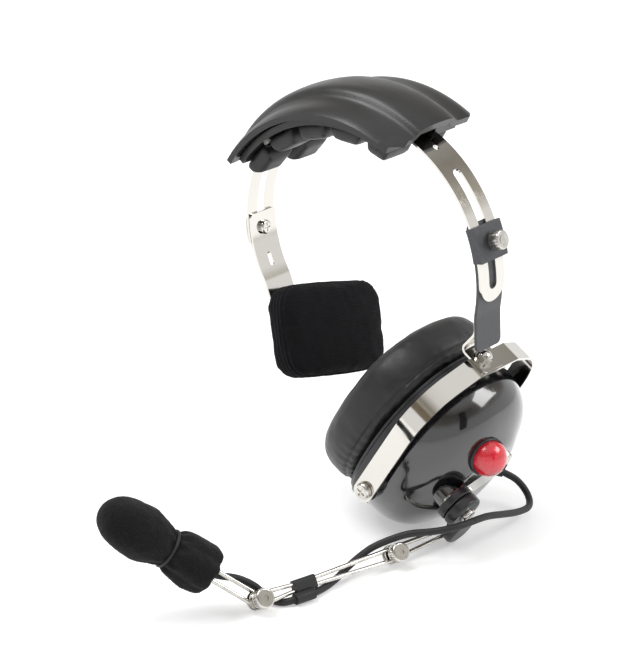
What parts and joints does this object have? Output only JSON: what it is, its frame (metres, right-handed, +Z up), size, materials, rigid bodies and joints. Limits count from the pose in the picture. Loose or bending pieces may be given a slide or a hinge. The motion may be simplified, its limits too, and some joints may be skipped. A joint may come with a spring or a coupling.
{
  "type": "aviation headset",
  "caption": "One-sided intercom headset with a padded crown, temple pad, oval ear cup with a push button, and a jointed wire boom that carries a muffed microphone",
  "frame": {"origin": "centre of the underside of the part's box, without the microphone's lead, on the surface it stands on", "axes": "+Z up as it stands on a table, +X towards the ear cup's side, +Y towards the back of the head; the boom reaches out along -Y"},
  "size_m": [0.1696, 0.2446, 0.2312],
  "materials": {
    "chrome": "polished plate",
    "steel": "plain",
    "dark_metal": "black oxide, satin",
    "black_vinyl": "soft moulded, fine grain",
    "black_plastic": "moulded, satin",
    "gloss_black": "polished moulding",
    "red_plastic": "polished moulding",
    "pad_foam": "soft foam",
    "knit_cloth": "knit",
    "muff_foam": "open foam",
    "black_leather": "leatherette, soft creases",
    "black_rubber": "soft jacket"
  },
  "bodies": {
    "headband": {"headband_strip": "chrome", "crown_cover": "black_vinyl", "crown_filler": "black_plastic", "crown_blocks": "pad_foam", "crown_rivets": "steel"},
    "temple_slide": {"temple_arm": "chrome", "temple_clamp_block": "dark_metal", "temple_clamp_screw": "chrome", "temple_pad_pin": "chrome"},
    "temple_pad": {"temple_pad_plate": "black_plastic", "temple_cushion": "knit_cloth"},
    "hanger": {"hanger_strip": "dark_metal", "hanger_bracket": "chrome", "hanger_clamp_block": "dark_metal", "hanger_clamp_screw": "chrome", "swivel_pin": "chrome", "swivel_nut": "chrome"},
    "thumb_nut": {"hanger_thumb_nut": "chrome"},
    "stirrup_body": {"stirrup": "chrome"},
    "cup": {"cup_rim": "black_plastic", "cup_dome": "gloss_black", "pivot_screws": "chrome", "pivot_washers": "steel", "baffle_plate": "black_plastic", "driver_frame": "steel", "driver_magnet": "steel", "driver_cone": "black_plastic", "driver_screws": "steel", "foam_liner": "pad_foam", "terminal_board": "black_plastic", "cushion_plate": "black_plastic", "ear_cloth": "knit_cloth", "ear_cushion": "black_leather", "button_bezel": "gloss_black", "switch_body": "black_plastic", "boom_bracket": "chrome", "bracket_screws": "chrome", "boom_mount": "black_plastic", "boom_pin": "chrome", "jack_socket": "black_plastic", "lead_gland": "black_rubber", "lead_cup": "black_rubber", "button_spring": "steel"},
    "button": {"button_cap": "red_plastic"},
    "boom_root": {"boom_knuckle": "black_plastic", "root_wire": "chrome", "lead_root": "black_rubber"},
    "boom_link": {"link_wire": "chrome", "link_washers": "chrome", "link_screws": "chrome", "lead_clip": "black_rubber", "lead_link": "black_rubber"},
    "rear_knob": {"elbow_knob_rear": "chrome"},
    "front_knob": {"elbow_knob_front": "chrome"},
    "mic_arm": {"mic_wire": "chrome", "mic_housing": "black_plastic", "mic_capsule": "steel", "mic_muff": "muff_foam", "muff_tie": "black_rubber", "lead_mic": "black_rubber"}
  },
  "joints": [
    {"name": "temple_slide", "type": "hinge", "parent": "headband", "child": "temple_slide", "pos_m": [-0.01652, 0.06567, 0.14797], "axis": [0, 1, 0], "range_deg": [-5, 12]},
    {"name": "temple_pad_swivel", "type": "hinge", "parent": "temple_slide", "child": "temple_pad", "pos_m": [-0.05851, 0.06567, 0.08243], "axis": [0.9336, 0, 0.3584], "range_deg": [-25, 25]},
    {"name": "hanger_slide", "type": "hinge", "parent": "headband", "child": "hanger", "pos_m": [-0.00853, 0.06567, 0.1397], "axis": [0, 1, 0], "range_deg": [-4, 10]},
    {"name": "thumb_nut_turn", "type": "hinge", "parent": "hanger", "child": "thumb_nut", "pos_m": [0.06828, 0.06567, 0.1654], "axis": [0.9483, 0, 0.3173], "range_deg": [-180, 180]},
    {"name": "stirrup_swivel", "type": "hinge", "parent": "hanger", "child": "stirrup_body", "pos_m": [0.06548, 0.06417, 0.10177], "axis": [0.5299, 0, 0.848], "range_deg": [-15, 15]},
    {"name": "cup_tilt", "type": "hinge", "parent": "stirrup_body", "child": "cup", "pos_m": [0.02627, 0.06968, 0.0343], "axis": [0, 1, 0], "range_deg": [-10, 10]},
    {"name": "talk_button", "type": "slide", "parent": "cup", "child": "button", "axis": [-0.9427, 0.3301, 0.0488], "range_m": [0, 0.0025], "stiffness_N_per_m": 1200, "springref_m": -0.001, "deforming": ["button_spring"]},
    {"name": "boom_swing", "type": "hinge", "parent": "cup", "child": "boom_root", "pos_m": [0.06697, 0.04618, 0.02773], "axis": [0.848, 0, -0.5299], "range_deg": [-75, 20], "deforming": ["lead_root"]},
    {"name": "rear_elbow", "type": "hinge", "parent": "boom_root", "child": "boom_link", "pos_m": [0.05147, 0.01628, 0.0088], "axis": [0.8327, -0.2142, 0.5106], "range_deg": [-45, 45], "deforming": ["lead_link"]},
    {"name": "rear_knob_turn", "type": "hinge", "parent": "boom_link", "child": "rear_knob", "pos_m": [0.05147, 0.01628, 0.0088], "axis": [0.8327, -0.2142, 0.5106], "range_deg": [-180, 180]},
    {"name": "front_elbow", "type": "hinge", "parent": "boom_link", "child": "mic_arm", "pos_m": [0.03097, -0.06342, 0.0088], "axis": [0.8327, -0.2142, 0.5106], "range_deg": [-35, 60], "deforming": ["lead_mic"]},
    {"name": "front_knob_turn", "type": "hinge", "parent": "boom_link", "child": "front_knob", "pos_m": [0.03097, -0.06342, 0.0088], "axis": [0.8327, -0.2142, 0.5106], "range_deg": [-180, 180]}
  ]
}
